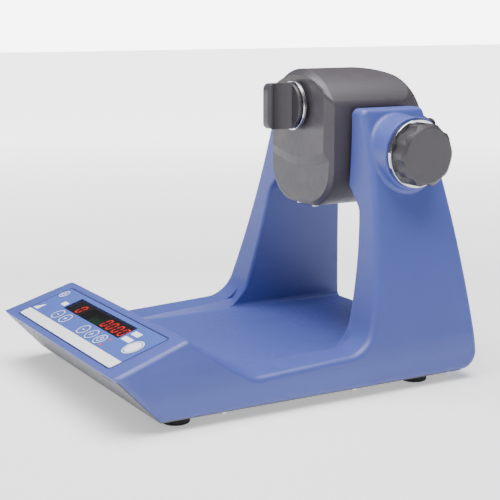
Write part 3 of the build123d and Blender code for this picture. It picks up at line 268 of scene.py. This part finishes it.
def mesh_piece(name, vertices, faces, look, body):
    mesh = bpy.data.meshes.new(name)
    mesh.from_pydata([tuple(v) for v in vertices], [], faces)
    mesh.validate()
    mesh.materials.append(look)
    work = bmesh.new()
    work.from_mesh(mesh)
    bmesh.ops.recalc_face_normals(work, faces=work.faces)
    work.to_mesh(mesh)
    work.free()
    piece = bpy.data.objects.new(name, mesh)
    bpy.context.collection.objects.link(piece)
    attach(piece, body)


def inlay(name, shapes, low, high, look, body="base"):
    """Thin printed shapes on the console: each is an outline, or an outline and a hole of as many points."""
    vertices, faces = [], []
    for shape in shapes:
        outline, hole = shape if isinstance(shape, tuple) else (shape, None)
        count, start = len(outline), len(vertices)
        vertices += [on_panel(u, v, low) for u, v in outline]
        vertices += [on_panel(u, v, high) for u, v in outline]
        if hole:
            vertices += [on_panel(u, v, low) for u, v in hole]
            vertices += [on_panel(u, v, high) for u, v in hole]
        for k in range(count):
            a, b = start + k, start + (k + 1) % count
            faces.append((a, b, b + count, a + count))
            if hole:
                c, d = a + 2 * count, b + 2 * count
                faces.append((d, c, c + count, d + count))
                faces.append((a + count, b + count, d + count, c + count))
                faces.append((b, a, c, d))
        if not hole:
            faces.append(tuple(range(start + count, start + 2 * count)))
            faces.append(tuple(reversed(range(start, start + count))))
    mesh_piece(name, vertices, faces, look, body)


INK_LOW, INK_HIGH = 0.01, 0.05            # ink on the foil
KEY_INK_LOW, KEY_INK_HIGH = 0.26, 0.30    # ink on the keys, which stand off the foil
FOIL_LEFT, FOIL_LOW, FOIL_RIGHT, FOIL_TOP = -112.8, 6.7, 112.8, 66.6
FOIL_R, BORDER = 4.0, 1.2
border = (
    rounded(FOIL_LEFT, FOIL_LOW, FOIL_RIGHT, FOIL_TOP, FOIL_R),
    rounded(FOIL_LEFT + BORDER, FOIL_LOW + BORDER, FOIL_RIGHT - BORDER, FOIL_TOP - BORDER, FOIL_R - BORDER),
)
inlay("foil_border", [border], INK_LOW, INK_HIGH, navy_ink)
strip = rounded(-111.2, 8.2, 111.2, 20.0, (3.2, 3.2, 0.3, 0.3))
inlay("label_strip", [strip], INK_LOW, INK_HIGH, label_paper)
inlay("foil_marks", [
    [(-109.5, 22.6), (-98.6, 22.6), (-99.6, 33.6)],
    rounded(-83.0, 42.0, -73.0, 47.6, 0.5),
    rounded(65.0, 50.5, 79.0, 56.5, 0.5),
    rounded(64.0, 40.8, 81.0, 46.6, 0.5),
], INK_LOW, INK_HIGH, white_ink)

# each key's place on the panel and its radius
KEYS = {
    "power_key": (-104.0, 55.0, 6.2),
    "speed_down_key": (-59.3, 29.6, 7.6), "speed_up_key": (-40.0, 29.6, 7.6),
    "time_down_key": (5.8, 29.2, 7.6), "time_up_key": (25.2, 29.2, 7.6), "mode_key": (44.6, 29.2, 7.6),
    "start_key": (94.5, 39.0, 10.8),
}
OUTLINE_GAP = 0.35
for key_name, (u, v, r) in KEYS.items():
    line = 1.2 if key_name == "start_key" else 0.75
    shapes = [(circle(u, v, r - OUTLINE_GAP), circle(u, v, r - OUTLINE_GAP - line))]
    if key_name.endswith(("down_key", "up_key")):
        shapes.append(bar(u, v, 4.4, 0.9))
    if key_name.endswith("up_key"):
        shapes += [bar(u, v + side * 1.4, 1.8, 0.9, math.pi / 2) for side in (1, -1)]
    if key_name == "power_key":
        shapes += [bar(u, v + 1.2, 2.6, 0.7, math.pi / 2), (circle(u, v - 0.2, 3.0), circle(u, v - 0.2, 2.4))]
    if key_name == "mode_key":
        clock_hands = [bar(u, v + 1.0, 2.2, 0.6, math.pi / 2), bar(u + 0.9, v, 2.0, 0.6)]
        shapes += [(circle(u, v, 3.7), circle(u, v, 3.1))] + clock_hands
    if key_name == "start_key":
        shapes.append(circle(u, v, 8.2))
    inlay(key_name + "_print", shapes, KEY_INK_LOW, KEY_INK_HIGH, white_ink, key_name + "_body")

# ------------------------------------------------------------------ digits behind the window
digit_red, tree, shader = new_material("digit_red")
cloud = noise(tree, 1500.0, 2.0)
plastic = tint(tree, remap(tree, cloud, 0.0, 1.0), (0.75, 0.015, 0.01), (0.95, 0.03, 0.02))
link(tree, plastic, shader.inputs["Base Color"])
shader.inputs["Roughness"].default_value = 0.4
shader.inputs["Emission Color"].default_value = (1.0, 0.006, 0.004, 1)
shader.inputs["Emission Strength"].default_value = 2.6
digit_off = printed("digit_off", (0.035, 0.012, 0.012), 0.5)

DIGIT_HALF_W, DIGIT_HALF_H, BAR_HALF_W, BAR_GAP, DIGIT_SLANT = 3.3, 5.6, 0.75, 0.35, 0.14
# each bar's place across and up the digit, in half widths and half heights, and whether it stands upright
SEGMENTS = {
    "a": (0.0, 1.0, 0), "g": (0.0, 0.0, 0), "d": (0.0, -1.0, 0),
    "f": (-1.0, 0.5, 1), "b": (1.0, 0.5, 1), "e": (-1.0, -0.5, 1), "c": (1.0, -0.5, 1),
}


def segment(u, v, name):
    """One bar of a slanted seven-segment digit, with pointed ends."""
    across, up, upright = SEGMENTS[name]
    end = (DIGIT_HALF_H / 2 if upright else DIGIT_HALF_W) - BAR_GAP
    neck = end - BAR_HALF_W
    low_side = [(-end, 0), (-neck, -BAR_HALF_W), (neck, -BAR_HALF_W)]
    high_side = [(end, 0), (neck, BAR_HALF_W), (-neck, BAR_HALF_W)]
    points = []
    for x, y in low_side + high_side:
        if upright:
            x, y = -y, x
        y += up * DIGIT_HALF_H
        x += across * DIGIT_HALF_W + DIGIT_SLANT * y
        points.append((u + x, v + y))
    return points


DIGIT_V = 49.6
SEGMENT_LOW, LIT_HIGH, UNLIT_HIGH = -1.76, -1.68, -1.70
BLANK_DIGIT = -60.2
DIGIT_PLACES = (-47.8, BLANK_DIGIT, 12.6, 25.3, 38.0, 50.7)
lit, unlit = [], []
for centre in DIGIT_PLACES:
    for name in SEGMENTS:
        on = centre != BLANK_DIGIT and name != "g"
        (lit if on else unlit).append(segment(centre, DIGIT_V, name))
unlit += [circle(31.2, 52.0, 0.7, 16), circle(30.6, 47.2, 0.7, 16)]
inlay("lit_segments", lit, SEGMENT_LOW, LIT_HIGH, digit_red)
inlay("unlit_segments", unlit, SEGMENT_LOW, UNLIT_HIGH, digit_off)

# ------------------------------------------------------------------ stage
def area_light(name, place, target, size, power):
    data = bpy.data.lights.new(name, "AREA")
    data.size = size
    data.energy = power
    lamp = bpy.data.objects.new(name, data)
    bpy.context.collection.objects.link(lamp)
    lamp.location = place
    lamp.rotation_euler = (Vector(target) - Vector(place)).to_track_quat("-Z", "Y").to_euler()


floor_mesh = bpy.data.meshes.new("floor")
REACH = 9.0
floor_corners = [(-REACH, -REACH, 0), (REACH, -REACH, 0), (REACH, REACH, 0), (-REACH, REACH, 0)]
floor_mesh.from_pydata(floor_corners, [], [(0, 1, 2, 3)])
floor = bpy.data.objects.new("floor", floor_mesh)
bpy.context.collection.objects.link(floor)
floor_look, tree, shader = new_material("floor_paper")
paper = tint(tree, remap(tree, noise(tree, 3.0), 0.0, 1.0), (0.86, 0.86, 0.865), (0.875, 0.875, 0.88))
link(tree, paper, shader.inputs["Base Color"])
shader.inputs["Roughness"].default_value = 0.7
shader.inputs["Emission Color"].default_value = (1, 1, 1, 1)
# the paper glows more the farther it lies from the object, so it meets the backdrop softly
place = tree.nodes.new("ShaderNodeTexCoord")
span = tree.nodes.new("ShaderNodeVectorMath")
span.operation = "LENGTH"
link(tree, place.outputs["Object"], span.inputs[0])
NEAR_GLOW, FAR_GLOW, NEAR, FAR = 0.5, 3.6, 0.5, 2.2
glow = remap(tree, span.outputs["Value"], NEAR_GLOW, FAR_GLOW, NEAR, FAR)
link(tree, glow, shader.inputs["Emission Strength"])
floor_mesh.materials.append(floor_look)

ROOM_LIGHT, BACKDROP_LIGHT = 0.2, 7.0
world = bpy.data.worlds.new("studio")
bpy.context.scene.world = world
world.use_nodes = True
backdrop = world.node_tree.nodes["Background"]
backdrop.inputs["Color"].default_value = (0.98, 0.985, 1.0, 1)
rays = world.node_tree.nodes.new("ShaderNodeLightPath")
brightness = remap(world.node_tree, rays.outputs["Is Camera Ray"], ROOM_LIGHT, BACKDROP_LIGHT, 0.0, 1.0)
link(world.node_tree, brightness, backdrop.inputs["Strength"])

area_light("top", (0.1, -0.1, 1.6), (0, 0, 0), 1.6, 75)
area_light("front_left", (-0.6, -1.8, 0.9), (0, 0, 0.15), 1.4, 7)

CAMERA_AZ, CAMERA_EL, CAMERA_DISTANCE = math.radians(60.4), math.radians(11.0), 1.204
target = Vector((0.00026, 0.008, 0.1168))
away = Vector((
    math.sin(CAMERA_AZ) * math.cos(CAMERA_EL),
    -math.cos(CAMERA_AZ) * math.cos(CAMERA_EL),
    math.sin(CAMERA_EL),
))
camera_data = bpy.data.cameras.new("camera")
camera_data.sensor_width = 36.0
camera_data.lens = 88.8
camera_data.clip_end = 50
camera = bpy.data.objects.new("camera", camera_data)
bpy.context.collection.objects.link(camera)
camera.location = target + away * CAMERA_DISTANCE
camera.rotation_euler = (-away).to_track_quat("-Z", "Y").to_euler()
bpy.context.scene.camera = camera
